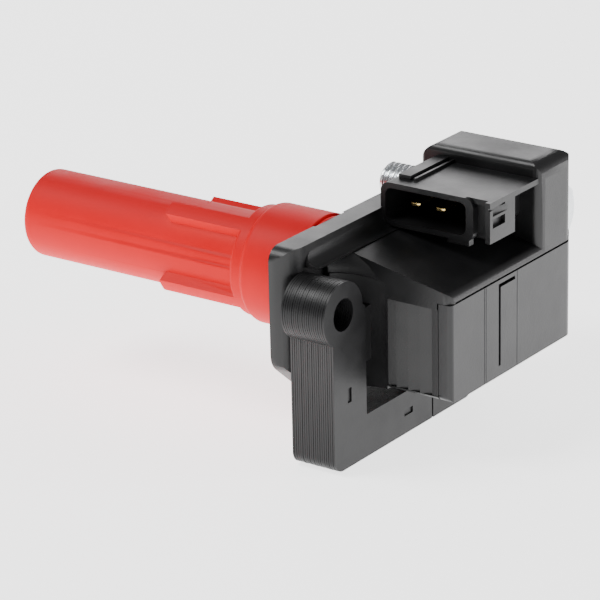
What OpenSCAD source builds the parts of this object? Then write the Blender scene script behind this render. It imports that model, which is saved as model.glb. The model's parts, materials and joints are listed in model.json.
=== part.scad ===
// Two-pin coil-on-plug ignition coil, with its plug boot and its captive bolt.
// X runs along the plug boot: the boot points to -X and the potted side faces +X.
// Y runs from the laminated core (-Y) to the captive bolt (+Y). Z is up.
// The origin is the centre of the boot on the flange's seating face.

/* [Mounting flange] */
// Thickness of the flange plate
flange_t = 5; // [4:0.1:6]
// Distance from the boot axis to the flange's front edge
flange_front = 20; // [16.5:0.1:24]
// Height of the flange's top edge above the boot axis
flange_top = 11.5; // [9.5:0.1:14]
// Rounding of the flange's upright corners
flange_corner_r = 3; // [1:0.1:4]
// Rounding of the flange's front edge, on the cover's side
flange_edge_r = 4.4; // [2:0.1:5.2]
// Width of the corner cut at the bottom of the flange
flange_cut = 8.2; // [5:0.1:9.8]

/* [Coil case] */
// Width of the case along the boot axis, from the seating face
case_depth = 30.7; // [25.5:0.1:37]
// Distance from the boot axis to the case's front wall
case_front = 3.7; // [3:0.1:4.5]
// Distance from the boot axis to the case's rear wall
case_rear = 41.6; // [34.5:0.1:50]
// Height of the case's low top above the boot axis, along the cover
case_top = 2.7; // [2:0.1:4]
// Height the low top has risen to where it meets the flange
ridge_top = 8; // [6:0.1:9]
// Depth of the case's floor below the boot axis
case_bottom = 19.3; // [16:0.1:23.5]
// Thickness of the case's walls
case_wall = 1.6; // [1.2:0.1:2]
// Rounding of the case's long edges
case_edge_r = 2; // [1:0.1:3]
// Rounding of the low top's front edge
top_front_r = 3.2; // [1.5:0.1:4]
// Inner radius of the shoulder between the flange and the front wall
shoulder_r = 11; // [8:0.1:13]
// Depth of the recess in the seating face around the boot
recess_t = 0.4; // [0.3:0.1:1]
// Thickness of the web between the coil and the boot
case_web = 1.6; // [1.2:0.1:2.2]

/* [Rear block] */
// Distance from the boot axis to the block's front wall
block_front = 28.5; // [23.5:0.1:34]
// Height of the block's top above the boot axis
block_top = 19.9; // [16.5:0.1:24]
// Distance from the seating face to the block's boot side
block_left = 2.8; // [1:0.1:4]
// Rounding of the block's upper boot-side corner
block_left_r = 4.5; // [3:0.1:6]
// Rounding of the block's other edges
block_edge_r = 3.6; // [1.5:0.1:4.4]

/* [Side cover] */
// Thickness of the cover over the potted side
cover_t = 2.9; // [2:0.1:4]
// Height of the cover's top seam above the boot axis
cover_top = 0.7; // [-0.5:0.1:0.9]
// Width of the seam behind the cover
seam_w = 0.3; // [0.2:0.05:0.5]
// Length of the upright slit in the cover
slit_len = 17; // [12:0.1:18]
// Width of the slit in the cover
slit_w = 0.7; // [0.5:0.05:1]

/* [Connector] */
// Width of the connector shroud
shroud_w = 21.4; // [17.8:0.1:25.8]
// Height of the connector shroud
shroud_h = 8.9; // [7.4:0.1:10.7]
// Distance from the rear block to the shroud's mouth
shroud_len = 16.9; // [14:0.1:20.3]
// Thickness of the shroud's wall
shroud_wall = 1.1; // [0.9:0.1:1.3]
// Outer corner radius of the shroud
shroud_r = 2; // [1.5:0.1:3]
// Height of the shroud's middle above the boot axis
shroud_z = 12.35; // [12:0.1:14]
// Distance from the seating face to the shroud's middle
shroud_x = 15.2; // [14.8:0.1:15.6]
// Reach of the latch rail beyond the shroud's side
latch_out = 4.1; // [2.8:0.1:4.8]
// Width of each contact blade
blade_w = 2.3; // [1.8:0.1:2.8]
// Thickness of each contact blade
blade_t = 0.64; // [0.6:0.02:0.8]
// Distance between the two contact blades
blade_pitch = 5.8; // [4.8:0.1:7]
// Distance from the shroud's mouth in to the blade tips
blade_recess = 2.4; // [2:0.1:5]

/* [Laminated core] */
// Thickness of the stack of sheets
stack_t = 10; // [8:0.5:12]
// Width of the upright leg
leg_w = 11; // [9:0.1:13.2]
// Distance from the boot axis to the leg's outer edge
leg_out = 20.5; // [19:0.1:22]
// Height of the lower arm
arm_h = 8.9; // [7:0.1:10]
// Drop of the core's underside below the case's floor
core_drop = 12.4; // [10.3:0.1:14.9]
// Distance from the boot axis to the far end of the lower arm
arm_end = 13.4; // [11:0.1:16.1]
// Outer radius of the mounting ear
ear_r = 6.5; // [5.4:0.1:7.8]
// Radius of the mounting hole in the ear
ear_hole_r = 3.25; // [2.7:0.05:4]
// Distance from the boot axis to the mounting hole
ear_y = 16.9; // [16:0.1:18]
// Height of the mounting hole above the boot axis
ear_z = 0.2; // [-1:0.1:1]
// Width of the wound centre core, along the boot axis
centre_w = 6.4; // [5.3:0.1:7.7]
// Distance from the seating face to the wound centre core
centre_x = 5.4; // [5.2:0.1:6]
// Gap between the windings and the case's floor
coil_floor_gap = 2.0; // [1:0.1:3]
// Gap between the windings and the case's low top
coil_top_gap = 1.2; // [0.8:0.1:2]
// Thickness of the bias magnet
magnet_t = 1; // [0.6:0.1:1.5]

/* [Windings] */
// Wall of each bobbin
bobbin_wall = 0.6; // [0.5:0.05:0.8]
// Build of the primary winding
primary_t = 0.7; // [0.5:0.05:0.9]
// Build of the secondary winding
secondary_t = 0.9; // [0.6:0.05:1.1]
// Clearance between nested pieces
nest_gap = 0.1; // [0.05:0.01:0.15]
// Number of chambers along the secondary bobbin
chambers = 8; // [6:1:10]
// Thickness of each wall between two chambers
chamber_wall = 0.5; // [0.4:0.05:0.7]

/* [Plug boot] */
// Length of the boot from the seating face
boot_len = 70.2; // [58:0.1:85]
// Outer radius of the boot's tube
boot_r = 9.1; // [7.6:0.1:10.9]
// Outer radius of the boot's collar
collar_r = 12.1; // [11.6:0.1:13]
// Length of the boot's collar
collar_len = 16.2; // [13.5:0.1:19.5]
// Outer radius over the boot's ribs
rib_r = 11.2; // [10.6:0.1:11.4]
// Width of each rib
rib_w = 2.9; // [2:0.1:5]
// Distance from the seating face to the front of the ribs
rib_end = 34.5; // [29:0.1:41]
// Number of ribs around the boot
ribs = 4; // [3:1:6]
// Turn of the first rib away from straight up
rib_turn = 33; // [0:1:89]
// Radius of the bore that grips the spark plug
plug_r = 5.1; // [4.25:0.05:6.15]
// Depth of the bore that grips the spark plug
plug_depth = 27; // [24:0.5:30]
// Radius of the bore around the contact spring
spring_bore_r = 4; // [3.6:0.1:4.4]

/* [High-tension tower] */
// Length of the tower inside the boot
tower_len = 16; // [12:0.5:20]
// Outer radius of the tower
tower_r = 7; // [5.8:0.1:8.4]
// Radius of the high-tension terminal
ht_r = 3; // [2.5:0.1:3.4]
// Length of the suppressor resistor
resistor_len = 9; // [6:0.5:11]
// Radius of the suppressor resistor
resistor_r = 3.1; // [2.5:0.1:3.4]
// Mean radius of the contact spring
spring_r = 2.9; // [2.4:0.1:3.2]
// Wire radius of the contact spring
spring_wire_r = 0.4; // [0.3:0.05:0.5]
// Number of turns of the contact spring
spring_turns = 9; // [6:1:12]

/* [Captive bolt] */
// Distance from the case's rear wall to the bolt's axis
bolt_out = 9.6; // [8:0.1:11.6]
// Height of the bolt above the boot axis
bolt_z = 1; // [0:0.1:3]
// Thread radius of the bolt
bolt_r = 4; // [3.5:0.05:4.1]
// Length of the bolt under its head
bolt_len = 36; // [30:0.5:43.5]
// Length of the bolt's thread
thread_len = 13; // [10:0.5:16]
// Distance across the flats of the bolt's head
head_af = 13; // [11:0.1:15]
// Height of the bolt's head
head_h = 5.8; // [4.8:0.1:7]
// Radius of the bolt's washer
washer_r = 8; // [7:0.1:9.5]
// Thickness of the bolt's washer
washer_t = 1.6; // [1:0.1:2]
// Outer radius of the lug around the bolt
lug_r = 7.5; // [6.6:0.1:8.2]
// Length of the lug along the bolt
lug_len = 13.2; // [11:0.1:16]
// Inner radius of the steel bush in the lug
bush_r = 4.3; // [4.2:0.05:4.6]
// Inner radius of the bush's collar, which keeps the bolt captive
bush_neck_r = 3.7; // [3.6:0.05:3.8]
// Wall of the steel bush
bush_wall = 1.2; // [0.8:0.1:1.5]
// Lift of the bolt from its seat, as it stands
bolt_lift = 0.5; // [0.3:0.1:2]

/* [Hidden] */

$fn = 64;
eps = 0.01;
fit = 0.05;
// Room between two bodies that a cement or resin fills
body_gap = 0.3;

// Case
box_x0 = case_web;
cover_x = case_depth - cover_t;
box_x1 = cover_x - seam_w;
cover_gap = 0.08;
slit_y = 13.6;
slit_depth = 1.6;
slit_run = 5.6;
slit_drop = 0.85;
score_t = 0.06;
score_w = 0.25;

// Low top: it falls from the flange to the cover
top_run = case_depth - flange_t;
top_slope = atan2(ridge_top - case_top, top_run);
ridge_blend_r = 2.8;
shoulder_x = flange_t + shoulder_r;
shoulder_y = -case_front - shoulder_r;
shoulder_s = -(case_depth - shoulder_x) / cos(top_slope);
ear_room = 0.4;

// Corner cut of the flange: its slope and its rounding
cut_h = 7;
cut_turn = atan2(cut_h, flange_cut);
cut_round = 4.5;

// Core
core_x = flange_t + 0.1;
core_x1 = core_x + stack_t;
core_bottom = case_bottom + core_drop;
leg_in = leg_out - leg_w;
arm_top = -core_bottom + arm_h;
core_corner_r = 2.8;
butt_gap = 0.4;
return_y0 = arm_end + butt_gap;
return_w = 10;
return_y1 = return_y0 + return_w + 4;
return_up = return_y1 - return_w;
centre_y0 = -leg_in + nest_gap;
magnet_y = return_up - nest_gap - magnet_t;
centre_y1 = magnet_y - nest_gap;
snout_wall = 0.8;
snout_x1 = centre_x + centre_w + snout_wall;
snout_y0 = -min(leg_in, ear_y - ear_r) + fit;

// Windings, as growths around the centre core
in1 = nest_gap;
out1 = in1 + bobbin_wall;
out2 = out1 + primary_t;
in3 = out2 + nest_gap;
out3 = in3 + bobbin_wall;
out4 = out3 + secondary_t;
centre_z0 = -case_bottom + case_wall + coil_floor_gap + out4;
centre_h = case_top - case_wall - coil_top_gap - out4 - centre_z0;
coil_y0 = -case_front + case_wall + 0.3;
coil_y1 = magnet_y - 0.3;
coil_len = coil_y1 - coil_y0;
end_wall = 0.8;
chamber_pitch = (coil_len - chamber_wall) / chambers;
potting_x0 = centre_x + centre_w + out4 + 0.9;

// Leads, and the diode beside the coil
lead_r = 0.4;
lead_y0 = coil_y1 + 0.3;
diode_r = 1.6;
diode_len = 9;
diode_x = core_x1 + 5;
diode_y = 4;
diode_z = -case_bottom + case_wall + 4;

// Connector
mouth_y = block_front - shroud_len;
shroud_x0 = shroud_x - shroud_w / 2;
shroud_x1 = shroud_x + shroud_w / 2;
shroud_z0 = shroud_z - shroud_h / 2;
shroud_z1 = shroud_z + shroud_h / 2;
socket_end = block_front - 1.5;
blade_y0 = mouth_y + blade_recess;
blade_mid = shroud_x - 1.5;
blade_x = [blade_mid - blade_pitch / 2, blade_mid + blade_pitch / 2];
blade_chamfer = 0.7;
rail_t = 1.1;
rail_len = 9;
rail_z0 = shroud_z0 + 0.6;
blade_back = block_front + (case_rear - block_front) / 2;
blade_foot = -1.5;

// Boot and tower
tip_x = -boot_len;
seal_t = 0.8;
seal_x = recess_t - fit - seal_t;
boot_x1 = seal_x - fit;
collar_rise = 2.6;
rib_draft = 0.5;
ht_x1 = case_web + 1;
ht_end = -tower_len + 2;
resistor_x = ht_end - 0.3 - resistor_len;
contact_len = 5;
contact_x = tip_x + plug_depth + 0.2;
spring_x0 = contact_x + contact_len;
spring_x1 = resistor_x - 0.1;

// Bolt
seat_x = lug_len;
washer_x = seat_x + bolt_lift;
head_x = washer_x + washer_t + 0.02;
bolt_y = case_rear + bolt_out;
neck_r = bolt_r - 0.6;
bush_collar_t = 1.5;

// A rectangle from (a0, b0) to (a1, b1), its corners rounded in the order
// low-low, high-low, high-high, low-high
module soft_rect(a0, a1, b0, b1, r = [0, 0, 0, 0]) {
    difference() {
        translate([a0, b0])
            square([a1 - a0, b1 - b0]);
        corner_cut(a0, b0, 1, 1, r[0]);
        corner_cut(a1, b0, -1, 1, r[1]);
        corner_cut(a1, b1, -1, -1, r[2]);
        corner_cut(a0, b1, 1, -1, r[3]);
    }
}

// What a round corner of radius r takes away at (a, b)
module corner_cut(a, b, da, db, r) {
    if (r > 0) {
        translate([a, b])
            difference() {
                translate([da > 0 ? -1 : -r, db > 0 ? -1 : -r])
                    square(r + 1);
                translate([da * r, db * r])
                    circle(r = r);
            }
    }
}

// A flat outline in Y and Z, drawn out along X from x0
module along_x(x0, len) {
    translate([x0, 0, 0])
        rotate([90, 0, 90])
            linear_extrude(len)
                children();
}

// A flat outline in X and Z, drawn out along Y from y0
module along_y(y0, len) {
    translate([0, y0 + len, 0])
        rotate([90, 0, 0])
            linear_extrude(len)
                children();
}

// A flat outline in X and Y, drawn out along Z from z0
module along_z(z0, len) {
    translate([0, 0, z0])
        linear_extrude(len)
            children();
}

// A box between two corners
module box(p0, p1) {
    translate(p0)
        cube(p1 - p0);
}

// A cylinder along X, from x0
module rod_x(x0, len, r) {
    translate([x0, 0, 0])
        rotate([0, 90, 0])
            cylinder(h = len, r = r);
}

// A rectangular sleeve around the centre core
module core_sleeve(y0, len, g0, g1) {
    along_y(y0, len)
        difference() {
            core_section(g1);
            core_section(g0);
        }
}

// The centre core's section, grown by g on every side
module core_section(g) {
    rounding = min(g, 1.2);
    soft_rect(centre_x - g, centre_x + centre_w + g, centre_z0 - g, centre_z0 + centre_h + g,
        [rounding, rounding, rounding, rounding]);
}

module at_bolt() {
    translate([0, bolt_y, bolt_z])
        children();
}

// ---- Case: flange, coil box, rear block, connector shroud and tower in one moulding

module flange_plate() {
    intersection() {
        along_x(0, flange_t) {
            difference() {
                soft_rect(-flange_front, case_rear, -case_bottom, flange_top,
                    [0, 0, 2, flange_corner_r]);
                flange_corner_cut();
            }
            translate([bolt_y, bolt_z])
                circle(r = lug_r);
            translate([case_rear - 2, bolt_z - lug_r])
                square([bolt_y - case_rear + 2, 2 * lug_r]);
        }
        along_z(-case_bottom - 1, case_bottom + flange_top + 2)
            soft_rect(0, flange_t, -flange_front, bolt_y + lug_r, [0, flange_edge_r, 0, 0]);
    }
}

// Slanting cut at the flange's lower front corner, rounded where it meets the front edge
module flange_corner_cut() {
    r = cut_round;
    y = -flange_front + r;
    z = -case_bottom + cut_h + r * (1 - sin(cut_turn)) / cos(cut_turn);
    difference() {
        polygon([[-flange_front - 1, z], [y, z], [y - r * sin(cut_turn), z - r * cos(cut_turn)],
            [-flange_front + flange_cut, -case_bottom],
            [-flange_front + flange_cut, -case_bottom - 1],
            [-flange_front - 1, -case_bottom - 1]]);
        translate([y, z])
            circle(r = r);
    }
}

// Height of the low top at x
function top_at(x) = case_top + (case_depth - x) * tan(top_slope);

// Outline in X and Z under the low top, rounded along the cover
module top_outline() {
    r = case_edge_r;
    x = case_depth - r;
    z = top_at(x) - r / cos(top_slope);
    difference() {
        polygon([[0, -case_bottom], [case_depth, -case_bottom], [case_depth, case_top],
            [flange_t - 1, top_at(flange_t - 1)], [0, top_at(flange_t - 1)]]);
        difference() {
            polygon([[x + r * sin(top_slope), z + r * cos(top_slope)], [x, z],
                [case_depth + 1, z], [case_depth + 1, top_at(x) + 1],
                [x + r * sin(top_slope), top_at(x) + 1]]);
            translate([x, z])
                circle(r = r);
        }
    }
}

// Places its children on the low top: X down the slope, the cover's face at X = 0
module on_top() {
    translate([case_depth, 0, case_top])
        rotate([0, top_slope, 0])
            children();
}

// What the rounding of a top edge takes away: the edge at a, the material beyond it
module edge_round(a, r) {
    difference() {
        translate([a - 1, -r])
            square([r + 1, r + 1]);
        translate([a + r, -r])
            circle(r = r);
    }
}

module coil_box() {
    r = case_edge_r;
    difference() {
        intersection() {
            along_x(flange_t - 1, case_depth - flange_t + 1)
                soft_rect(-case_front, case_rear, -case_bottom, flange_top, [1.5, r, 0, 0]);
            along_y(-case_front - 1, case_rear + case_front + 2)
                top_outline();
            along_z(-case_bottom - 1, flange_top + case_bottom + 2)
                soft_rect(0, case_depth, -case_front, case_rear, [0, r, 1.5 * r, 0]);
        }
        on_top()
            translate([shoulder_s, 0, 0])
                rotate([90, 0, 90])
                    linear_extrude(-shoulder_s + 2)
                        edge_round(-case_front, top_front_r);
        on_top()
            shoulder_round();
    }
}

// Ring that rounds the shoulder's top edge
module shoulder_round() {
    translate([shoulder_s, shoulder_y, 0])
        rotate_extrude($fn = 96)
            edge_round(shoulder_r, top_front_r);
}

// Shoulder that sweeps from the flange round to the front wall, clear of the core
module shoulder() {
    difference() {
        intersection() {
            union() {
                box([flange_t - 1, shoulder_y, ear_z + ear_r + ear_room],
                    [shoulder_x, -case_front + top_front_r, flange_top]);
                box([flange_t - 1, -leg_in + ear_room, -case_bottom],
                    [shoulder_x, -case_front + top_front_r, flange_top]);
            }
            along_y(shoulder_y - 1, shoulder_r + top_front_r + 2)
                top_outline();
        }
        along_z(-case_bottom - 1, case_bottom + flange_top + 2)
            translate([shoulder_x, shoulder_y])
                circle(r = shoulder_r, $fn = 96);
        on_top()
            shoulder_round();
        // The coil chamber and the windings stay clear
        box([box_x0, -case_front + case_wall, -case_bottom - 1],
            [shoulder_x + 1, -case_front + top_front_r + 1, case_top - case_wall]);
    }
}

// Fillet where the low top rises into the flange
module ridge_blend() {
    r = ridge_blend_r;
    x = flange_t + r;
    z = top_at(x) + r / cos(top_slope);
    intersection() {
        along_y(shoulder_y, block_front - shoulder_y + 1)
            difference() {
                polygon([[flange_t - 1, top_at(flange_t) - 1], [x, top_at(x) - 0.5],
                    [x + r * sin(top_slope), z - r * cos(top_slope)], [x, z],
                    [flange_t - 1, z]]);
                translate([x, z])
                    circle(r = r);
            }
        along_x(flange_t - 1, 2 * r + 1)
            soft_rect(shoulder_y - 0.4, block_front + 2, ear_z + ear_r + ear_room, z,
                [0, 0, 0, top_front_r]);
    }
}

module rear_block() {
    r = block_edge_r;
    intersection() {
        along_x(block_left, case_depth - block_left)
            soft_rect(block_front, case_rear, -case_bottom, block_top, [0, 1, 4, 1.6]);
        along_y(block_front - 1, case_rear - block_front + 2)
            soft_rect(block_left, case_depth, -case_bottom, block_top, [0, 0, r, block_left_r]);
        along_z(-case_bottom - 1, block_top + case_bottom + 2)
            soft_rect(block_left, case_depth, block_front, case_rear, [1, 2, 3.4, 3.4]);
    }
}

module shroud_body() {
    r = shroud_r;
    x = shroud_x1 + latch_out;
    // Mouth sleeve
    along_y(mouth_y, shroud_len + 1)
        soft_rect(shroud_x0, shroud_x1, shroud_z0, shroud_z1, [r, r, r, r]);
    // Top plate that reaches out over the latch rail
    box([shroud_x1 - 3, mouth_y + 0.8, shroud_z1 - rail_t], [x, block_front + 1, shroud_z1]);
    // Latch rail beside the shroud
    box([x - rail_t, mouth_y - 0.4, rail_z0], [x, mouth_y - 0.4 + rail_len, shroud_z1]);
    box([shroud_x1 - 1, mouth_y + 1.8, rail_z0],
        [x - rail_t + eps, mouth_y + 3, shroud_z1 - rail_t + eps]);
    // Lip under the mouth
    box([shroud_x + 4.6, mouth_y + 0.4, shroud_z0 - 1],
        [shroud_x1 - 1.2, mouth_y + 2, shroud_z0 + 1.5]);
}

module key_ribs() {
    rib_y = mouth_y + 3.2;
    box([shroud_x0 + 2.2, rib_y, shroud_z1 - 0.5],
        [shroud_x0 + 4.9, block_front + 1, shroud_z1 + 0.9]);
    box([shroud_x0 + 5.7, rib_y, shroud_z1 - 0.5],
        [shroud_x0 + 6.2, block_front + 1, shroud_z1 + 0.6]);
}

module latch_cuts() {
    x = shroud_x1 + latch_out;
    y = mouth_y - 0.4;
    // Window in the rail, with the locking ramp above it
    box([x - 0.9, y + 1, shroud_z - 0.9], [x + 1, y + 5.4, shroud_z + 0.9]);
    along_z(shroud_z + 1.5, 1.4)
        polygon([[x + 1, y + 1], [x - 0.8, y + 1], [x, y + 6.4], [x + 1, y + 6.4]]);
    // Step along the rail's upper edge
    box([x - 0.4, y - 1, shroud_z1 - rail_t - 0.5], [x + 1, y + 5.4, shroud_z1 - rail_t]);
}

module connector_socket() {
    w = shroud_wall;
    r = shroud_r - w / 2;
    along_y(mouth_y - 1, socket_end - mouth_y + 1)
        soft_rect(shroud_x0 + w, shroud_x1 - w - 0.6, shroud_z0 + w, shroud_z1 - w,
            [r, r, r, r]);
}

// Ramped relief panel on the front wall: a ledge below it, four shallow ramps, a flat margin
module front_relief() {
    panel_x0 = core_x1 + 0.2;
    panel_x1 = cover_x - seam_w;
    strip = (panel_x1 - panel_x0 - 1.4) / 4;
    panel_z0 = -case_bottom + 0.8;
    along_z(panel_z0, -0.6 - panel_z0)
        for (i = [0:3])
            translate([panel_x0 + i * strip, -case_front])
                polygon([[0, -1], [0, 0.12], [strip, 0.85], [strip, -1]]);
    box([panel_x1 - 1.4 - eps, -case_front - 1, panel_z0], [panel_x1, -case_front + 0.3, -0.6]);
}

module box_hollow() {
    // Coil chamber, open towards the cover
    box([box_x0, -case_front + case_wall, -case_bottom + case_wall],
        [case_depth + 1, case_rear - case_wall, case_top - case_wall]);
    // Seat of the cover
    box([cover_x - seam_w, -case_front - 1, -case_bottom - 1],
        [case_depth + 1, case_rear + 1, cover_top + cover_gap]);
}

// Room for both terminals in the case and in the resin
module terminal_slots() {
    for (x = blade_x)
        terminal_path(x, blade_w + 2 * fit, blade_t + 2 * fit, 0.5);
}

// The L-shaped way of one terminal: back through the block, then down to the coil
module terminal_path(x, w, t, extra) {
    box([x - w / 2, blade_y0, shroud_z - t / 2],
        [x + w / 2, blade_back + t / 2, shroud_z + t / 2]);
    box([x - w / 2, blade_back - t / 2, blade_foot - extra],
        [x + w / 2, blade_back + t / 2, shroud_z + t / 2]);
}

module tower() {
    rod_x(-tower_len, tower_len + 1, tower_r);
}

module case() {
    color("#26272b")
        difference() {
            union() {
                flange_plate();
                difference() {
                    coil_box();
                    box_hollow();
                    front_relief();
                }
                difference() {
                    rear_block();
                    box_hollow();
                }
                shoulder();
                ridge_blend();
                shroud_body();
                key_ribs();
                tower();
                // Snout that carries the centre core out to the leg
                box([centre_x - snout_wall, snout_y0, centre_z0 - snout_wall],
                    [snout_x1, -case_front + 1, centre_z0 + centre_h + snout_wall]);
                at_bolt()
                    rod_x(0, lug_len, lug_r);
                // Web that ties the lug to the block
                box([0, case_rear - 1, bolt_z - 3], [lug_len - 3, bolt_y - bush_r, bolt_z + 3]);
            }
            // Recess in the seating face around the boot
            difference() {
                rod_x(-1, 1 + recess_t, collar_r + 0.4);
                rod_x(-2, 4, tower_r);
            }
            // Coil chamber behind the flange plate
            box([box_x0, -case_front + case_wall, -case_bottom + case_wall],
                [flange_t + 1, case_rear - case_wall, case_top - case_wall]);
            connector_socket();
            latch_cuts();
            terminal_slots();
            // Way of the centre core
            along_y(-leg_in - 1, leg_in + 1)
                core_section(fit);
            // Way of the return core through the floor
            box([core_x - fit, return_up - fit, -case_bottom - 1],
                [core_x1 + fit, return_y1 + fit, -case_bottom + case_wall + 1]);
            // Bore of the tower, wider where it holds the suppressor
            rod_x(-tower_len - 1, tower_len + case_web + 2, ht_r + fit);
            rod_x(-tower_len - 1, tower_len + 1 + ht_end - 0.2, resistor_r + fit);
            // Bore of the lug
            at_bolt()
                rod_x(-1, lug_len + 2, bush_r + bush_wall + fit);
        }
}

// A faint upright line scored into the cover's face
module cover_score(y) {
    box([case_depth - score_t, y, -case_bottom - 1],
        [case_depth + 1, y + score_w, cover_top + 1]);
}

module side_cover() {
    r = case_edge_r;
    slit_z = cover_top - slit_drop;
    color("#2b2c31")
        difference() {
            intersection() {
                along_x(cover_x, cover_t)
                    soft_rect(-case_front, case_rear, -case_bottom, cover_top, [1.5, r, 0, 0]);
                along_z(-case_bottom - 1, cover_top + case_bottom + 2)
                    soft_rect(0, case_depth, -case_front, case_rear, [0, r / 2, 1.5 * r, 0]);
            }
            // L-shaped slit
            box([case_depth - slit_depth, slit_y - slit_w / 2, slit_z - slit_len],
                [case_depth + 1, slit_y + slit_w / 2, slit_z]);
            box([case_depth - slit_depth, slit_y - slit_w / 2, slit_z - slit_w],
                [case_depth + 1, slit_y + slit_run, slit_z]);
            cover_score(slit_y + slit_run + 0.6);
            cover_score(slit_y - 5.1);
            cover_score(slit_y - 5.7);
        }
}

// Cured resin between the coil and the cover
module potting() {
    color("#3a2f28")
        difference() {
            box([potting_x0, -case_front + case_wall + fit, -case_bottom + case_wall + fit],
                [box_x1 - 0.1, case_rear - case_wall - fit, case_top - case_wall - fit]);
            terminal_slots();
            for (x = blade_x)
                lead_room(x);
            box([core_x, return_up - 0.2, -case_bottom],
                [core_x1 + 0.2, return_y1 + 0.2, centre_z0 + centre_h + 0.4]);
            translate([diode_x, diode_y, diode_z])
                rotate([-90, 0, 0])
                    translate([0, 0, -0.6])
                        cylinder(h = diode_len + 1.2, r = diode_r + 0.2);
        }
}

// ---- Core

module ear_outline() {
    translate([-ear_y, ear_z])
        circle(r = ear_r);
    soft_rect(-ear_y, -leg_in, arm_top, ear_z, [0, 0, 0.9, 0]);
    soft_rect(-leg_out, -leg_in, -core_bottom, ear_z - sqrt(ear_r * ear_r
        - (leg_out - ear_y) * (leg_out - ear_y)), [core_corner_r, 0, 0, 0]);
    soft_rect(-leg_out, arm_end, -core_bottom, arm_top, [core_corner_r, 0, 0, 0]);
}

// A pressed mark that locks the sheets together
module interlock(y, z, turn) {
    translate([core_x1 - 0.4, y, z])
        rotate([turn, 0, 0])
            translate([0, -0.6, -1.5])
                cube([1, 1.2, 3]);
}

module outer_core() {
    color("#4b4b4d")
        difference() {
            along_x(core_x, stack_t)
                ear_outline();
            translate([core_x - 1, -ear_y, ear_z])
                rotate([0, 90, 0])
                    cylinder(h = stack_t + 2, r = ear_hole_r);
            interlock(-leg_out + 5.3, arm_top + 6, 0);
            interlock(arm_end - 8.4, -core_bottom + arm_h / 2, 90);
        }
}

module return_core() {
    color("#47474a")
        along_x(core_x, stack_t) {
            soft_rect(return_y0, return_y1, -core_bottom, arm_top, [0, 2, 0, 0]);
            soft_rect(return_up, return_y1, arm_top - 1, centre_z0 + centre_h, [0, 0, 1, 0]);
        }
}

module centre_core() {
    color("#505054")
        along_y(centre_y0, centre_y1 - centre_y0)
            core_section(0);
}

module magnet() {
    color("#6d6f74")
        along_y(magnet_y, magnet_t)
            core_section(0);
}

// ---- Windings

module primary_bobbin() {
    color("#e6e1d2") {
        core_sleeve(coil_y0, coil_len, in1, out1);
        core_sleeve(coil_y0, end_wall, out1 - eps, out2);
        core_sleeve(coil_y1 - end_wall, end_wall, out1 - eps, out2);
    }
}

module primary_winding() {
    color("#b8682f")
        core_sleeve(coil_y0 + end_wall + fit, coil_len - 2 * end_wall - 2 * fit, out1 + fit, out2);
}

module secondary_bobbin() {
    color("#d9d4c6") {
        core_sleeve(coil_y0, coil_len, in3, out3);
        for (i = [0:chambers])
            core_sleeve(coil_y0 + i * chamber_pitch, chamber_wall, out3 - eps, out4);
    }
}

module secondary_winding() {
    color("#a2552a")
        for (i = [0:chambers - 1])
            core_sleeve(coil_y0 + i * chamber_pitch + chamber_wall + fit,
                chamber_pitch - chamber_wall - 2 * fit, out3 + fit, out4 - 0.1);
}

// ---- Terminals and leads

module terminal(x) {
    color("#c9a24a") {
        difference() {
            terminal_path(x, blade_w, blade_t, 0);
            // Chamfered blade tip
            for (s = [-1, 1])
                translate([x + s * blade_w / 2, blade_y0, shroud_z])
                    rotate([0, 0, 45])
                        cube([blade_chamfer, blade_chamfer, 2], center = true);
        }
    }
}

module supply_terminal() {
    terminal(blade_x[0]);
}

module switch_terminal() {
    terminal(blade_x[1]);
}

// A lead from a terminal's foot forward to the coil's end
module lead(x) {
    color("#b8682f")
        translate([x, lead_y0, blade_foot - lead_r - fit])
            rotate([-90, 0, 0])
                cylinder(h = blade_back + 0.5 - lead_y0, r = lead_r, $fn = 24);
}

module lead_room(x) {
    translate([x, lead_y0 - 0.4, blade_foot - lead_r - fit])
        rotate([-90, 0, 0])
            cylinder(h = blade_back + 1.2 - lead_y0, r = lead_r + 0.1, $fn = 24);
}

module supply_lead() {
    lead(blade_x[0]);
}

module switch_lead() {
    lead(blade_x[1]);
}

module ht_diode() {
    color("#1c1c1e")
        translate([diode_x, diode_y, diode_z])
            rotate([-90, 0, 0])
                cylinder(h = diode_len, r = diode_r);
}

module ht_lead() {
    color("#b8682f")
        box([box_x0 + 0.1, coil_y0 + 2, 0.45], [ht_x1 + 0.4, coil_y0 + 4, 0.75]);
}

// ---- High-tension path in the boot

module ht_terminal() {
    color("#c9a24a") {
        rod_x(ht_end, -ht_end + case_web - 0.05, ht_r);
    }
}

module suppressor() {
    color("#5a4634") {
        rod_x(resistor_x + 1.5, resistor_len - 3, resistor_r - 0.3);
        rod_x(resistor_x, 1.5 + eps, resistor_r);
        rod_x(resistor_x + resistor_len - 1.5 - eps, 1.5 + eps, resistor_r);
    }
}

// Points of a ring of the spring's wire, at turn angle t
function spring_point(t, k, sides) =
    let (x = spring_x0 + spring_wire_r + (spring_x1 - spring_x0 - 2 * spring_wire_r)
            * t / (360 * spring_turns),
        rr = spring_r + spring_wire_r * cos(k * 360 / sides))
    [x + spring_wire_r * sin(k * 360 / sides), rr * cos(t), rr * sin(t)];

module contact_spring() {
    sides = 8;
    steps = 14 * spring_turns;
    rings = [for (i = [0:steps]) for (k = [0:sides - 1])
        spring_point(i * 360 * spring_turns / steps, k, sides)];
    walls = [for (i = [0:steps - 1]) for (k = [0:sides - 1])
        [i * sides + k, i * sides + (k + 1) % sides,
            (i + 1) * sides + (k + 1) % sides, (i + 1) * sides + k]];
    first = [for (k = [sides - 1:-1:0]) k];
    last = [for (k = [0:sides - 1]) steps * sides + k];
    color("#aeb2b8")
        polyhedron(points = rings, faces = concat(walls, [first], [last]), convexity = 10);
}

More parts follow.
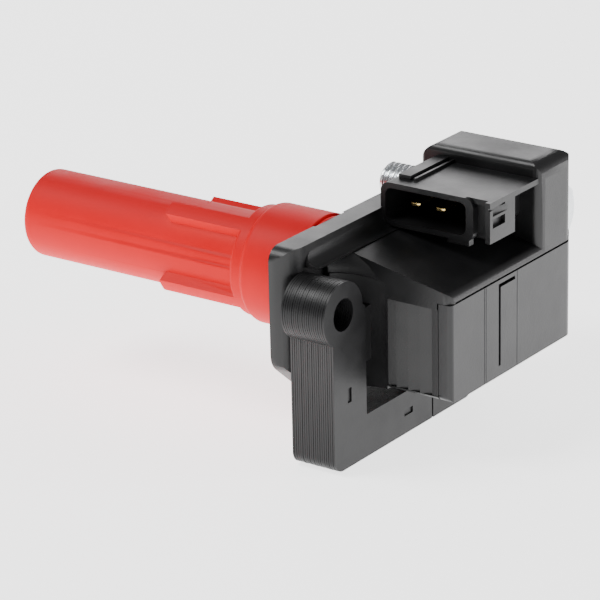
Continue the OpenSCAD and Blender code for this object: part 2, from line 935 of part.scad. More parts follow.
module plug_contact() {
    color("#c3c6cb")
        difference() {
            union() {
                rod_x(contact_x, contact_len - 0.3, spring_r + spring_wire_r);
                rod_x(contact_x, 1, spring_r + spring_wire_r + 0.4);
            }
            rod_x(contact_x - 1, 2.2, 1.6);
        }
}

// ---- Boot

module boot() {
    color("#d5202a")
        difference() {
            union() {
                translate([tip_x, 0, 0])
                    rotate([0, 90, 0])
                        rotate_extrude($fn = 96)
                            boot_profile();
                for (i = [0:ribs - 1])
                    rotate([rib_turn + i * 360 / ribs, 0, 0])
                        boot_rib();
            }
            rod_x(tip_x - 1, plug_depth + 1, plug_r);
            rod_x(tip_x, boot_len - tower_len + 1, spring_bore_r);
            rod_x(-tower_len - 0.1, tower_len + 1, tower_r + fit);
        }
}

// Half section of the boot's outside: (radius, distance from the tip)
module boot_profile() {
    tip_r = 1.4;
    seat = boot_x1 - tip_x;
    step = boot_len - collar_len;
    soft_rect(0, boot_r, 0, step + 1, [0, tip_r, 0, 0]);
    soft_rect(0, rib_r, step, seat, [0, 0.8, 0, 0]);
    soft_rect(0, collar_r, step + collar_rise, seat, [0, 1.4, 0.3, 0]);
}

// A standing rib, its sides drafted and its front end rounded
module boot_rib() {
    foot = rib_w / 2 + rib_draft;
    intersection() {
        along_x(-rib_end, rib_end - collar_len + 1.5)
            polygon([[-foot, boot_r - 1], [foot, boot_r - 1], [rib_w / 2, rib_r + 1],
                [-rib_w / 2, rib_r + 1]]);
        rod_x(-rib_end - 1, rib_end, rib_r);
        along_y(-foot - 1, 2 * foot + 2)
            soft_rect(-rib_end, 0, boot_r - 2, rib_r + 1, [0, 0, 0, 2]);
        along_z(boot_r - 2, rib_r)
            soft_rect(-rib_end, 0, -foot, foot, [rib_w / 2, 0, 0, rib_w / 2]);
    }
}

module boot_seal() {
    color("#b81c26")
        difference() {
            rod_x(seal_x, seal_t, collar_r - 0.5);
            rod_x(-seal_t - 1, seal_t + 2, tower_r + fit);
        }
}

// ---- Captive bolt

module bolt_bush() {
    color("#b9bcc0")
        at_bolt()
            difference() {
                rod_x(0, lug_len, bush_r + bush_wall);
                rod_x(bush_collar_t, lug_len, bush_r);
                rod_x(-1, lug_len, bush_neck_r);
            }
}

module bolt_washer() {
    color("#c4c7cb")
        at_bolt()
            difference() {
                rod_x(washer_x, washer_t, washer_r);
                rod_x(washer_x - 1, washer_t + 2, bolt_r + 0.1);
            }
}

module bolt() {
    tip = head_x - bolt_len;
    color("#c8cbd0")
        at_bolt() {
            intersection() {
                rod_x(tip, thread_len, bolt_r);
                // Chamfered end
                translate([tip, 0, 0])
                    rotate([0, 90, 0])
                        cylinder(h = thread_len + 1, r1 = bolt_r - 1, r2 = bolt_r + thread_len);
            }
            rod_x(tip + thread_len - eps, bolt_len - thread_len + 2 * eps, neck_r);
            bolt_head();
        }
}

// Hexagon head, its outer corners chamfered
module bolt_head() {
    corner_r = head_af / 2 / cos(30);
    translate([head_x, 0, 0])
        rotate([0, 90, 0])
            intersection() {
                rotate([0, 0, 55])
                    cylinder(h = head_h, r = corner_r, $fn = 6);
                cylinder(h = head_h, r1 = head_af / 2 + 0.3 + head_h * 1.7, r2 = head_af / 2 - 0.3);
            }
}

case();
side_cover();
potting();
outer_core();
return_core();
centre_core();
magnet();
primary_bobbin();
primary_winding();
secondary_bobbin();
secondary_winding();
supply_terminal();
switch_terminal();
supply_lead();
switch_lead();
ht_diode();
ht_lead();
ht_terminal();
suppressor();
contact_spring();
plug_contact();
boot();
boot_seal();
bolt_bush();
bolt_washer();
bolt();
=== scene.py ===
import json
import math

import bmesh
import bpy
from mathutils import Matrix, Vector


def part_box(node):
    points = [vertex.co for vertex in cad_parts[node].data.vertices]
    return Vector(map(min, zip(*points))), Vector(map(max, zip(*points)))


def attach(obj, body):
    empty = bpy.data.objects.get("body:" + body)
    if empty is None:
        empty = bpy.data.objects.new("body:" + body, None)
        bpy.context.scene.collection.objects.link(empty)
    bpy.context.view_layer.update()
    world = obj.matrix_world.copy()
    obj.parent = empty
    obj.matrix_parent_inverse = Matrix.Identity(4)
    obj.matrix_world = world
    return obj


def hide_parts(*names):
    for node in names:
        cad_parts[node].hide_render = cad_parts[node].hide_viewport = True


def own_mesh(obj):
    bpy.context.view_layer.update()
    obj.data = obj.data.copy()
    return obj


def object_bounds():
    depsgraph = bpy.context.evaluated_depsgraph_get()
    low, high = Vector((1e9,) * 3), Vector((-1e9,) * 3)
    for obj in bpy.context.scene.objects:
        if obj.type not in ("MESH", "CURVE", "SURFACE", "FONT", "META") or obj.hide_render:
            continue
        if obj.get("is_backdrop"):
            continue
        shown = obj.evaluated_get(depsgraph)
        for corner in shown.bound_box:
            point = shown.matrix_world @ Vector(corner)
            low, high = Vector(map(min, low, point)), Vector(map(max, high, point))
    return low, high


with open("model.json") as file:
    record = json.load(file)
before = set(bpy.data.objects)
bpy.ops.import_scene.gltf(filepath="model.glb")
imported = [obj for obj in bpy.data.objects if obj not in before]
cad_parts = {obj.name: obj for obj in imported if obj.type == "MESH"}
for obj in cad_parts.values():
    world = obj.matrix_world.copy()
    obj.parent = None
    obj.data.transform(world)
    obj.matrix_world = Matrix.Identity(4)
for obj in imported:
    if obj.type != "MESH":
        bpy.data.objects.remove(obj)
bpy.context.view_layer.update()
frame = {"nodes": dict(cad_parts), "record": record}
mm = 0.001


# ---- camera, light and floor

cameraSetup = {
    "azimuth": 35.72,       # degrees, turned from looking along +Y
    "elevation": 20.89,     # degrees above the level
    "roll": -1.24,          # degrees
    "lens": 199.9,          # mm
    "sensor": 36,           # mm
    "nearest": 0.01,        # m, nothing nearer is drawn
    "distance": 628.5,      # mm to the aim point
    "aim": (7.85, -20.8, 3.01),   # mm, in the frame of the part
}


def makeCamera(values):
    azimuth = math.radians(values["azimuth"])
    elevation = math.radians(values["elevation"])
    back = Vector((math.sin(azimuth) * math.cos(elevation),
                   -math.cos(azimuth) * math.cos(elevation), math.sin(elevation)))
    right = Vector((math.cos(azimuth), math.sin(azimuth), 0))
    up = back.cross(right)
    turn = Matrix((right, up, back)).transposed().to_4x4()
    roll = Matrix.Rotation(math.radians(values["roll"]), 4, "Z")
    data = bpy.data.cameras.new("camera")
    data.lens = values["lens"]
    data.sensor_width = values["sensor"]
    data.clip_start = values["nearest"]
    camera = bpy.data.objects.new("camera", data)
    bpy.context.scene.collection.objects.link(camera)
    place = Vector(values["aim"]) * mm + back * values["distance"] * mm
    camera.matrix_world = Matrix.Translation(place) @ turn @ roll
    bpy.context.scene.camera = camera


lightSetup = {
    # name: (position, size, watts, colour), in metres, each aimed at the part
    "back": ((-0.55, 0.72, 0.42), 0.55, 2.6, (1.0, 0.99, 1.0)),
    "key": ((-0.45, -0.35, 0.8), 0.45, 7.0, (1.0, 1.0, 1.0)),
    "side": ((0.85, 0.5, 0.2), 0.5, 5.0, (1.0, 0.98, 1.0)),
}
worldStrength = 0.3
litPoint = (-0.02, 0.01, -0.005)   # m, where the lamps aim


def makeLights(values):
    middle = Vector(litPoint)
    for name, (place, size, watts, colour) in values.items():
        data = bpy.data.lights.new(name, "AREA")
        data.shape = "DISK"
        data.size = size
        data.energy = watts
        data.color = colour
        lamp = bpy.data.objects.new(name, data)
        bpy.context.scene.collection.objects.link(lamp)
        lamp.location = place
        aim = middle - Vector(place)
        lamp.rotation_euler = aim.to_track_quat("-Z", "Y").to_euler()
    world = bpy.data.worlds.new("studio")
    bpy.context.scene.world = world
    world.use_nodes = True
    sky = world.node_tree.nodes["Background"]
    sky.inputs["Color"].default_value = (1, 1, 1, 1)
    sky.inputs["Strength"].default_value = worldStrength


floorSetup = {
    "half": 3,            # m, half its width
    "drop": 0.0002,       # m below the part's lowest point
    "colour": (0.9, 0.9, 0.9),
    "roughness": 0.8,
    "glow": 2.2,
}


def makeFloor(values):
    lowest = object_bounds()[0][2]
    mesh = bpy.data.meshes.new("floor")
    floor = bpy.data.objects.new("floor", mesh)
    bpy.context.scene.collection.objects.link(floor)
    shape = bmesh.new()
    bmesh.ops.create_grid(shape, x_segments=2, y_segments=2, size=values["half"])
    bmesh.ops.translate(shape, verts=shape.verts, vec=(0, 0, lowest - values["drop"]))
    shape.to_mesh(mesh)
    shape.free()
    paper = plainMaterial("floorPaper", values["colour"], values["roughness"])
    shader = paper.node_tree.nodes["Principled BSDF"]
    shader.inputs["Emission Color"].default_value = (1, 1, 1, 1)
    shader.inputs["Emission Strength"].default_value = values["glow"]
    mesh.materials.append(paper)
    floor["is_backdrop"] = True


# ---- materials

def newMaterial(name):
    material = bpy.data.materials.new(name)
    material.use_nodes = True
    nodes = material.node_tree.nodes
    return material, nodes, material.node_tree.links, nodes["Principled BSDF"]


def plainMaterial(name, colour, roughness):
    material, _, _, shader = newMaterial(name)
    shader.inputs["Base Color"].default_value = (*colour, 1)
    shader.inputs["Roughness"].default_value = roughness
    return material


# a noise's middle values, which are spread over the whole range or tone
noiseSpan = (0.3, 0.7)
toneSpan = (0.3, 0.75)


def addNoise(nodes, links, place, scale, detail, roughness):
    noise = nodes.new("ShaderNodeTexNoise")
    noise.inputs["Scale"].default_value = scale
    noise.inputs["Detail"].default_value = detail
    noise.inputs["Roughness"].default_value = roughness
    links.new(place, noise.inputs["Vector"])
    return noise.outputs["Fac"]


def addRange(nodes, links, value, low, high):
    change = nodes.new("ShaderNodeMapRange")
    change.inputs["From Min"].default_value = noiseSpan[0]
    change.inputs["From Max"].default_value = noiseSpan[1]
    change.inputs["To Min"].default_value = low
    change.inputs["To Max"].default_value = high
    links.new(value, change.inputs["Value"])
    return change.outputs["Result"]


def addTones(nodes, links, value, dark, pale):
    ramp = nodes.new("ShaderNodeValToRGB")
    for stop, place, colour in zip(ramp.color_ramp.elements, toneSpan, (dark, pale)):
        stop.position = place
        stop.color = (*colour, 1)
    links.new(value, ramp.inputs["Fac"])
    return ramp.outputs["Color"]


def addBump(nodes, links, shader, height, distance, strength, before=None):
    bump = nodes.new("ShaderNodeBump")
    bump.inputs["Strength"].default_value = strength
    bump.inputs["Distance"].default_value = distance
    links.new(height, bump.inputs["Height"])
    if before is not None:
        links.new(before, bump.inputs["Normal"])
    links.new(bump.outputs["Normal"], shader.inputs["Normal"])
    return bump.outputs["Normal"]


def objectPlace(nodes):
    return nodes.new("ShaderNodeTexCoord").outputs["Object"]


def mouldedPlastic(name, dark, pale, roughness, grain=2600.0):
    material, nodes, links, shader = newMaterial(name)
    place = objectPlace(nodes)
    cloud = addNoise(nodes, links, place, 90.0, 5.0, 0.6)
    links.new(addTones(nodes, links, cloud, dark, pale), shader.inputs["Base Color"])
    links.new(addRange(nodes, links, cloud, roughness - 0.06, roughness + 0.08),
              shader.inputs["Roughness"])
    fine = addNoise(nodes, links, place, grain, 3.0, 0.55)
    coarse = addNoise(nodes, links, place, 420.0, 3.0, 0.5)
    first = addBump(nodes, links, shader, fine, 0.00004, 0.5)
    addBump(nodes, links, shader, coarse, 0.00008, 0.25, first)
    shader.inputs["Specular IOR Level"].default_value = 0.42
    return material


def siliconeRubber(name, dark, pale):
    material, nodes, links, shader = newMaterial(name)
    place = objectPlace(nodes)
    cloud = addNoise(nodes, links, place, 60.0, 4.0, 0.55)
    links.new(addTones(nodes, links, cloud, dark, pale), shader.inputs["Base Color"])
    links.new(addRange(nodes, links, cloud, 0.42, 0.55), shader.inputs["Roughness"])
    fine = addNoise(nodes, links, place, 1800.0, 3.0, 0.5)
    addBump(nodes, links, shader, fine, 0.00004, 0.35)
    shader.inputs["Specular IOR Level"].default_value = 0.14
    return material


def lacqueredSteel(name, dark, pale):
    material, nodes, links, shader = newMaterial(name)
    place = objectPlace(nodes)
    cloud = addNoise(nodes, links, place, 140.0, 5.0, 0.6)
    links.new(addTones(nodes, links, cloud, dark, pale), shader.inputs["Base Color"])
    links.new(addRange(nodes, links, cloud, 0.34, 0.5), shader.inputs["Roughness"])
    fine = addNoise(nodes, links, place, 1500.0, 4.0, 0.6)
    addBump(nodes, links, shader, fine, 0.00003, 0.4)
    shader.inputs["Specular IOR Level"].default_value = 0.3
    return material


def platedMetal(name, dark, pale, low, high, metallic=1.0, grain=900.0):
    material, nodes, links, shader = newMaterial(name)
    place = objectPlace(nodes)
    cloud = addNoise(nodes, links, place, 260.0, 5.0, 0.6)
    links.new(addTones(nodes, links, cloud, dark, pale), shader.inputs["Base Color"])
    links.new(addRange(nodes, links, cloud, low, high), shader.inputs["Roughness"])
    fine = addNoise(nodes, links, place, grain, 3.0, 0.5)
    addBump(nodes, links, shader, fine, 0.00002, 0.3)
    shader.inputs["Metallic"].default_value = metallic
    return material


# ---- making meshes from the frame

def newPiece(name, mesh):
    piece = bpy.data.objects.new(name, mesh)
    bpy.context.scene.collection.objects.link(piece)
    return piece


def applyModifiers(piece):
    bpy.context.view_layer.update()
    view = piece.evaluated_get(bpy.context.evaluated_depsgraph_get())
    mesh = bpy.data.meshes.new_from_object(view)
    piece.modifiers.clear()
    piece.data = mesh


def smoothByAngle(mesh, degrees):
    mesh.polygons.foreach_set("use_smooth", [True] * len(mesh.polygons))
    mesh.set_sharp_from_angle(angle=math.radians(degrees))


mergeDistance = 0.000004   # m


def mergedCopy(node, flat=0.6):
    mesh = frame["nodes"][node].data.copy()
    mesh.materials.clear()
    shape = bmesh.new()
    shape.from_mesh(mesh)
    bmesh.ops.remove_doubles(shape, verts=shape.verts, dist=mergeDistance)
    bmesh.ops.dissolve_limit(shape, angle_limit=math.radians(flat), verts=shape.verts,
                             edges=shape.edges)
    shape.to_mesh(mesh)
    shape.free()
    return mesh


def softEdged(name, node, width, segments=2, limit=38, smooth=35):
    piece = newPiece(name, mergedCopy(node))
    bevel = piece.modifiers.new("edges", "BEVEL")
    bevel.width = width * mm
    bevel.segments = segments
    bevel.limit_method = "ANGLE"
    bevel.angle_limit = math.radians(limit)
    bevel.use_clamp_overlap = True
    applyModifiers(piece)
    smoothByAngle(piece.data, smooth)
    normals = piece.modifiers.new("normals", "WEIGHTED_NORMAL")
    normals.keep_sharp = True
    normals.weight = 80
    applyModifiers(piece)
    return piece


def finishPiece(piece, body, material, slotName, *nodes):
    piece.data.materials.clear()
    piece.data.materials.append(material)
    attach(piece, body)
    if nodes:
        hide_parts(*nodes)


makeCamera(cameraSetup)
makeLights(lightSetup)
makeFloor(floorSetup)
print("stage is set")

materials = {
    "case_plastic": mouldedPlastic(
        "casePlastic", (0.004, 0.004, 0.0044), (0.009, 0.009, 0.0096), 0.38),
    "cover_plastic": mouldedPlastic(
        "coverPlastic", (0.006, 0.006, 0.0066), (0.012, 0.012, 0.013), 0.36),
    "resin": plainMaterial("pottingResin", (0.04, 0.028, 0.02), 0.2),
    "core_steel": lacqueredSteel(
        "coreLacquer", (0.005, 0.005, 0.0055), (0.012, 0.012, 0.0125)),
    "inner_steel": platedMetal(
        "siliconSteel", (0.25, 0.25, 0.26), (0.4, 0.4, 0.41), 0.3, 0.45),
    "magnet_black": platedMetal(
        "sinteredMagnet", (0.1, 0.1, 0.11), (0.2, 0.2, 0.21), 0.5, 0.7, 0.3),
    "bobbin_plastic": mouldedPlastic(
        "bobbinPlastic", (0.62, 0.58, 0.48), (0.74, 0.7, 0.6), 0.45),
    "copper_wire": platedMetal(
        "enamelledCopper", (0.5, 0.18, 0.07), (0.72, 0.3, 0.12), 0.2, 0.35),
    "contact_brass": platedMetal(
        "contactBrass", (0.72, 0.52, 0.2), (0.9, 0.7, 0.32), 0.18, 0.3),
    "diode_black": plainMaterial("diodeBody", (0.02, 0.02, 0.022), 0.3),
    "ceramic": plainMaterial("brownCeramic", (0.3, 0.2, 0.13), 0.35),
    "spring_steel": platedMetal(
        "springSteel", (0.5, 0.5, 0.52), (0.65, 0.65, 0.67), 0.2, 0.32),
    "zinc_plate": platedMetal(
        "zincPlate", (0.62, 0.64, 0.66), (0.8, 0.82, 0.84), 0.2, 0.34),
    "red_silicone": siliconeRubber(
        "redSilicone", (0.66, 0.0, 0.004), (0.74, 0.001, 0.008)),
}
hiddenSharp = 30   # degrees, on the pieces shown as they are
slots = {s["node"]: s["material_slot"] for s in frame["record"]["subparts"]}
for node, thing in frame["nodes"].items():
    thing.data.materials.clear()
    thing.data.materials.append(materials[slots[node]])
    smoothByAngle(thing.data, hiddenSharp)
print("materials are made")

# ---- case, cover and connector

caseEdge = 0.2      # mm
coverEdge = 0.12    # mm
case = softEdged("moulded_case", "case", caseEdge)
finishPiece(case, "coil", materials["case_plastic"], "case_plastic", "case")
cover = softEdged("potting_cover", "side_cover", coverEdge)
finishPiece(cover, "coil", materials["cover_plastic"], "cover_plastic", "side_cover")
print("case is made")

bladeEdge = 0.1     # mm
for node in ("supply_terminal", "switch_terminal"):
    blade = softEdged(node.replace("terminal", "blade"), node, bladeEdge)
    finishPiece(blade, "coil", materials["contact_brass"], "contact_brass", node)
print("terminals are made")


# ---- plug boot

bootEdge = 0.4      # mm
sealEdge = 0.15     # mm
boot = softEdged("plug_boot", "boot", bootEdge, segments=3, limit=30, smooth=40)
finishPiece(boot, "coil", materials["red_silicone"], "red_silicone", "boot")
seal = softEdged("seat_seal", "boot_seal", sealEdge)
finishPiece(seal, "coil", materials["red_silicone"], "red_silicone", "boot_seal")
print("boot is made")


# ---- laminated core

coreValues = {
    "sheets": 20,
    "gap": 0.09,         # mm between two sheets
    "smallest": 0.9965,  # the sheets vary a little in size
    "largest": 0.9995,
    "seed": 7,
    "sharp": 25,         # degrees
    "markDepth": 0.4,    # mm
    "markSize": (1.3, 3.0),   # mm
    # the marks' middles in mm: how far in from the arm's far end, and above the underside
    "legMark": (28.6, 14.9),
    "armMark": (8.4, 4.45),
}


def sheetMesh(name, node, thickness):
    mesh = mergedCopy(node)
    low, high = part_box(node)
    middle = (Vector(low) + Vector(high)) / 2
    shape = bmesh.new()
    shape.from_mesh(mesh)
    facing, near = -0.99, 0.00001
    spare = [f for f in shape.faces
             if f.normal.x > facing or abs(f.calc_center_median().x - low[0]) > near]
    bmesh.ops.delete(shape, geom=spare, context="FACES")
    faces = list(shape.faces)
    made = bmesh.ops.extrude_face_region(shape, geom=faces, use_keep_orig=True)
    moved = [v for v in made["geom"] if isinstance(v, bmesh.types.BMVert)]
    bmesh.ops.translate(shape, verts=moved, vec=(thickness, 0, 0))
    bmesh.ops.recalc_face_normals(shape, faces=shape.faces)
    bmesh.ops.translate(shape, verts=shape.verts, vec=(-low[0], -middle.y, -middle.z))
    shape.to_mesh(mesh)
    shape.free()
    mesh.name = name
    return mesh, Vector((low[0], middle.y, middle.z))


def addInput(tree, name, kind, value):
    socket = tree.interface.new_socket(name, in_out="INPUT", socket_type=kind)
    socket.default_value = value
    return socket


def newTree(name, values):
    tree = bpy.data.node_groups.new(name, "GeometryNodeTree")
    tree.interface.new_socket("Geometry", in_out="INPUT", socket_type="NodeSocketGeometry")
    sockets = {key: addInput(tree, key, kind, value) for key, (kind, value) in values.items()}
    tree.interface.new_socket("Geometry", in_out="OUTPUT", socket_type="NodeSocketGeometry")
    return tree, sockets


def runTree(piece, tree, sockets, given):
    change = piece.modifiers.new("shape", "NODES")
    change.node_group = tree
    for key, value in given.items():
        change[sockets[key].identifier] = value
    applyModifiers(piece)


def stackTree():
    tree, sockets = newTree("sheetStack", {
        "Sheets": ("NodeSocketInt", 20), "Pitch": ("NodeSocketFloat", 0.0005),
        "Start": ("NodeSocketVector", (0, 0, 0)), "Smallest": ("NodeSocketFloat", 0.99),
        "Largest": ("NodeSocketFloat", 1.0), "Seed": ("NodeSocketInt", 1),
        "Material": ("NodeSocketMaterial", None)})
    nodes, links = tree.nodes, tree.links
    start = nodes.new("NodeGroupInput")
    end = nodes.new("NodeGroupOutput")
    step = nodes.new("ShaderNodeCombineXYZ")
    line = nodes.new("GeometryNodeMeshLine")
    points = nodes.new("GeometryNodeInstanceOnPoints")
    chance = nodes.new("FunctionNodeRandomValue")
    scale = nodes.new("ShaderNodeCombineXYZ")
    real = nodes.new("GeometryNodeRealizeInstances")
    paint = nodes.new("GeometryNodeSetMaterial")
    scale.inputs["X"].default_value = 1.0
    links.new(start.outputs["Pitch"], step.inputs["X"])
    links.new(start.outputs["Sheets"], line.inputs["Count"])
    links.new(start.outputs["Start"], line.inputs["Start Location"])
    links.new(step.outputs[0], line.inputs["Offset"])
    links.new(line.outputs["Mesh"], points.inputs["Points"])
    links.new(start.outputs["Geometry"], points.inputs["Instance"])
    links.new(start.outputs["Smallest"], chance.inputs[2])
    links.new(start.outputs["Largest"], chance.inputs[3])
    links.new(start.outputs["Seed"], chance.inputs["Seed"])
    links.new(chance.outputs[1], scale.inputs["Y"])
    links.new(chance.outputs[1], scale.inputs["Z"])
    links.new(scale.outputs[0], points.inputs["Scale"])
    links.new(points.outputs[0], real.inputs[0])
    links.new(real.outputs[0], paint.inputs["Geometry"])
    links.new(start.outputs["Material"], paint.inputs["Material"])
    links.new(paint.outputs[0], end.inputs[0])
    return tree, sockets


def makeStack(name, node, values, tree, sockets):
    low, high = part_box(node)
    pitch = (high[0] - low[0]) / values["sheets"]
    mesh, place = sheetMesh(name, node, pitch - values["gap"] * mm)
    piece = newPiece(name, mesh)
    runTree(piece, tree, sockets, {
        "Sheets": values["sheets"], "Pitch": pitch, "Start": place,
        "Smallest": values["smallest"], "Largest": values["largest"],
        "Seed": values["seed"], "Material": materials["core_steel"]})
    smoothByAngle(piece.data, values["sharp"])
    return piece


def pressMarks(piece, values):
    low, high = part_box("outer_core")
    width, length = values["markSize"]
    shape = bmesh.new()
    for (back, up), wide, tall in ((values["legMark"], width, length),
                                   (values["armMark"], length, width)):
        place = (high[0], high[1] - back * mm, low[2] + up * mm)
        size = Vector((2 * values["markDepth"], wide, tall)) * mm
        turn = Matrix.Translation(place) @ Matrix.Diagonal((*size, 1))
        bmesh.ops.create_cube(shape, size=1, matrix=turn)
    mesh = bpy.data.meshes.new("markCutter")
    shape.to_mesh(mesh)
    shape.free()
    cutter = newPiece("markCutter", mesh)
    cut = piece.modifiers.new("marks", "BOOLEAN")
    cut.object = cutter
    cut.solver = "EXACT"
    applyModifiers(piece)
    bpy.data.objects.remove(cutter)
    smoothByAngle(piece.data, values["sharp"])


stack, stackSockets = stackTree()
for name, node in (("leg_sheets", "outer_core"), ("return_sheets", "return_core")):
    core = makeStack(name, node, coreValues, stack, stackSockets)
    if node == "outer_core":
        pressMarks(core, coreValues)
    finishPiece(core, "coil", materials["core_steel"], "core_steel", node)
print("core is made")


# ---- captive bolt

boltValues = {
    # lengths in mm
    "radius": 4.0,
    "pitch": 1.25,
    "threadDepth": 0.7,
    "threadLength": 13.0,
    "ridge": 1.35,        # height of the thread's ridge before its top is cut flat, in depths
    "flank": 4,           # slope of its sides, in depths for each pitch
    "runOut": 1.2,        # where the thread fades into the neck
    "ringsPerTurn": 12,
    "sides": 64,
    "neckRadius": 3.4,
    "neckGap": 0.4,       # from the thread's end to the neck
    "flare": 0.6,         # length of the flare under the head
    "flareRise": 0.4,
    "endChamfer": 1.0,
    "chamferSlope": 1.1,
    "headGap": 0.02,      # between the washer and the head
    "headCut": 0.02,      # how far into the head it is cut from the shaft
    "headEdge": 0.15,
    "headEdgeAngle": 20,  # degrees
    "washerEdge": 0.18,
    "bushEdge": 0.12,
    "sharp": 35,          # degrees
}


def threadRadius(x, angle, values):
    # x in mm from the tip
    phase = (x / values["pitch"] - angle / (2 * math.pi)) % 1.0
    ridge = min(1.0, max(0.0, values["ridge"] - abs(phase - 0.5) * values["flank"]))
    root = values["radius"] - values["threadDepth"]
    fadeOut = min(1.0, max(0.0, (values["threadLength"] - x) / values["runOut"]))
    radius = root + values["threadDepth"] * ridge * fadeOut
    return min(radius, values["radius"] - values["endChamfer"] + x * values["chamferSlope"])


def latheMesh(name, rings):
    # rings: lists of points around the X axis, from the low end to the high one
    mesh = bpy.data.meshes.new(name)
    shape = bmesh.new()
    loops = [[shape.verts.new(p) for p in ring] for ring in rings]
    count = len(loops[0])
    for a, b in zip(loops, loops[1:]):
        for i in range(count):
            j = (i + 1) % count
            shape.faces.new((a[i], a[j], b[j], b[i]))
    shape.faces.new(list(reversed(loops[0])))
    shape.faces.new(loops[-1])
    bmesh.ops.recalc_face_normals(shape, faces=shape.faces)
    shape.to_mesh(mesh)
    shape.free()
    return mesh


def boltShaft(values, axisY, axisZ, tip, headX):
    sides = values["sides"]
    step = values["pitch"] / values["ringsPerTurn"]
    count = int(values["threadLength"] / step)
    rings = []

    def addRing(x, radiusAt):
        ring = []
        for i in range(sides):
            angle = 2 * math.pi * i / sides
            radius = radiusAt(angle) * mm
            ring.append((tip + x * mm, axisY + radius * math.cos(angle),
                         axisZ + radius * math.sin(angle)))
        rings.append(ring)

    for k in range(count + 1):
        x = k * step
        addRing(x, lambda angle: threadRadius(x, angle, values))
    neck = values["neckRadius"]
    length = (headX - tip) / mm
    for x, radius in ((values["threadLength"] + values["neckGap"], neck),
                      (length - values["flare"], neck),
                      (length, neck + values["flareRise"])):
        addRing(x, lambda angle: radius)
    return latheMesh("shaft", rings)


def boltHead(cutX):
    mesh = mergedCopy("bolt", flat=0.2)
    shape = bmesh.new()
    shape.from_mesh(mesh)
    bmesh.ops.bisect_plane(shape, geom=list(shape.verts) + list(shape.edges) + list(shape.faces),
                           plane_co=(cutX, 0, 0), plane_no=(1, 0, 0),
                           clear_inner=True)
    edges = [e for e in shape.edges if e.is_boundary]
    bmesh.ops.holes_fill(shape, edges=edges)
    bmesh.ops.recalc_face_normals(shape, faces=shape.faces)
    shape.to_mesh(mesh)
    shape.free()
    return mesh


def joinMeshes(name, meshes):
    shape = bmesh.new()
    for mesh in meshes:
        shape.from_mesh(mesh)
    joined = bpy.data.meshes.new(name)
    shape.to_mesh(joined)
    shape.free()
    return joined


washerLow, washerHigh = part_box("bolt_washer")
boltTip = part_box("bolt")[0][0]
boltY = (washerLow[1] + washerHigh[1]) / 2
boltZ = (washerLow[2] + washerHigh[2]) / 2
headX = washerHigh[0] + boltValues["headGap"] * mm
head = newPiece("hexHead", boltHead(headX + boltValues["headCut"] * mm))
bevel = head.modifiers.new("edges", "BEVEL")
bevel.width = boltValues["headEdge"] * mm
bevel.segments = 2
bevel.limit_method = "ANGLE"
bevel.angle_limit = math.radians(boltValues["headEdgeAngle"])
applyModifiers(head)
shaft = boltShaft(boltValues, boltY, boltZ, boltTip, headX)
bolt = newPiece("captive_bolt", joinMeshes("captive_bolt", (shaft, head.data)))
bpy.data.objects.remove(head)
smoothByAngle(bolt.data, boltValues["sharp"])
finishPiece(bolt, "bolt", materials["zinc_plate"], "zinc_plate", "bolt")
washer = softEdged("plain_washer", "bolt_washer", boltValues["washerEdge"])
finishPiece(washer, "bolt_carrier", materials["zinc_plate"], "zinc_plate", "bolt_washer")
bush = softEdged("lug_bush", "bolt_bush", boltValues["bushEdge"])
finishPiece(bush, "coil", materials["zinc_plate"], "zinc_plate", "bolt_bush")
print("bolt is made")


# ---- contact spring in the boot

springValues = {
    "turns": 9.0,
    "radius": 2.9,      # mm
    "wire": 0.39,       # mm
    "steps": 36,        # per turn
}


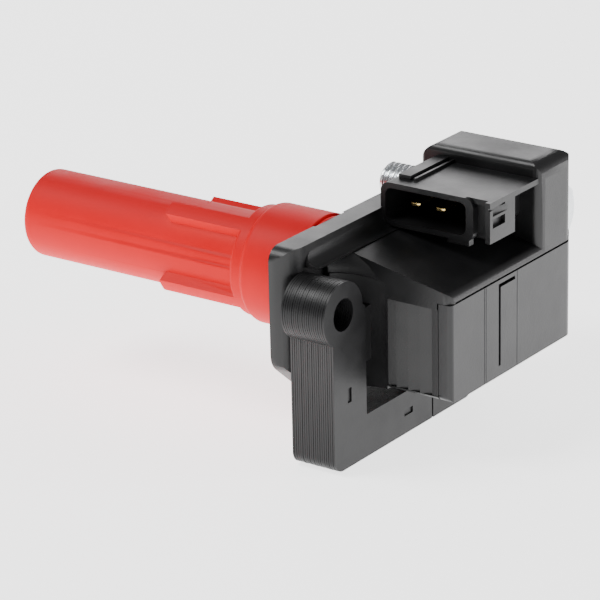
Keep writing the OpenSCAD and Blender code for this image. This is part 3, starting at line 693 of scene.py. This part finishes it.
def springTree():
    tree, sockets = newTree("wireSpring", {
        "Turns": ("NodeSocketFloat", 9.0), "Radius": ("NodeSocketFloat", 0.003),
        "Length": ("NodeSocketFloat", 0.02), "Steps": ("NodeSocketInt", 36),
        "Wire": ("NodeSocketFloat", 0.0004), "Start": ("NodeSocketVector", (0, 0, 0)),
        "Material": ("NodeSocketMaterial", None)})
    nodes, links = tree.nodes, tree.links
    start = nodes.new("NodeGroupInput")
    end = nodes.new("NodeGroupOutput")
    coil = nodes.new("GeometryNodeCurveSpiral")
    ring = nodes.new("GeometryNodeCurvePrimitiveCircle")
    tube = nodes.new("GeometryNodeCurveToMesh")
    turn = nodes.new("GeometryNodeTransform")
    smooth = nodes.new("GeometryNodeSetShadeSmooth")
    paint = nodes.new("GeometryNodeSetMaterial")
    ring.inputs["Resolution"].default_value = 12
    tube.inputs["Fill Caps"].default_value = True
    turn.inputs["Rotation"].default_value = (0, math.pi / 2, 0)
    links.new(start.outputs["Steps"], coil.inputs["Resolution"])
    links.new(start.outputs["Turns"], coil.inputs["Rotations"])
    links.new(start.outputs["Radius"], coil.inputs["Start Radius"])
    links.new(start.outputs["Radius"], coil.inputs["End Radius"])
    links.new(start.outputs["Length"], coil.inputs["Height"])
    links.new(start.outputs["Wire"], ring.inputs["Radius"])
    links.new(coil.outputs[0], tube.inputs["Curve"])
    links.new(ring.outputs[0], tube.inputs["Profile Curve"])
    links.new(tube.outputs[0], turn.inputs["Geometry"])
    links.new(start.outputs["Start"], turn.inputs["Translation"])
    links.new(turn.outputs[0], smooth.inputs["Geometry"])
    links.new(smooth.outputs[0], paint.inputs["Geometry"])
    links.new(start.outputs["Material"], paint.inputs["Material"])
    links.new(paint.outputs[0], end.inputs[0])
    return tree, sockets


springLow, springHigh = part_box("contact_spring")
wire = springValues["wire"] * mm
spring = newPiece("wire_spring", bpy.data.meshes.new("wire_spring"))
tree, sockets = springTree()
runTree(spring, tree, sockets, {
    "Turns": springValues["turns"], "Radius": springValues["radius"] * mm,
    "Length": springHigh[0] - springLow[0] - 2 * wire, "Steps": springValues["steps"],
    "Wire": wire, "Start": Vector((springLow[0] + wire, 0, 0)),
    "Material": materials["spring_steel"]})
spring.data.materials.clear()
spring.data.materials.append(materials["spring_steel"])
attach(spring, "coil")
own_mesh(spring)
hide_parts("contact_spring")
print("spring is made")
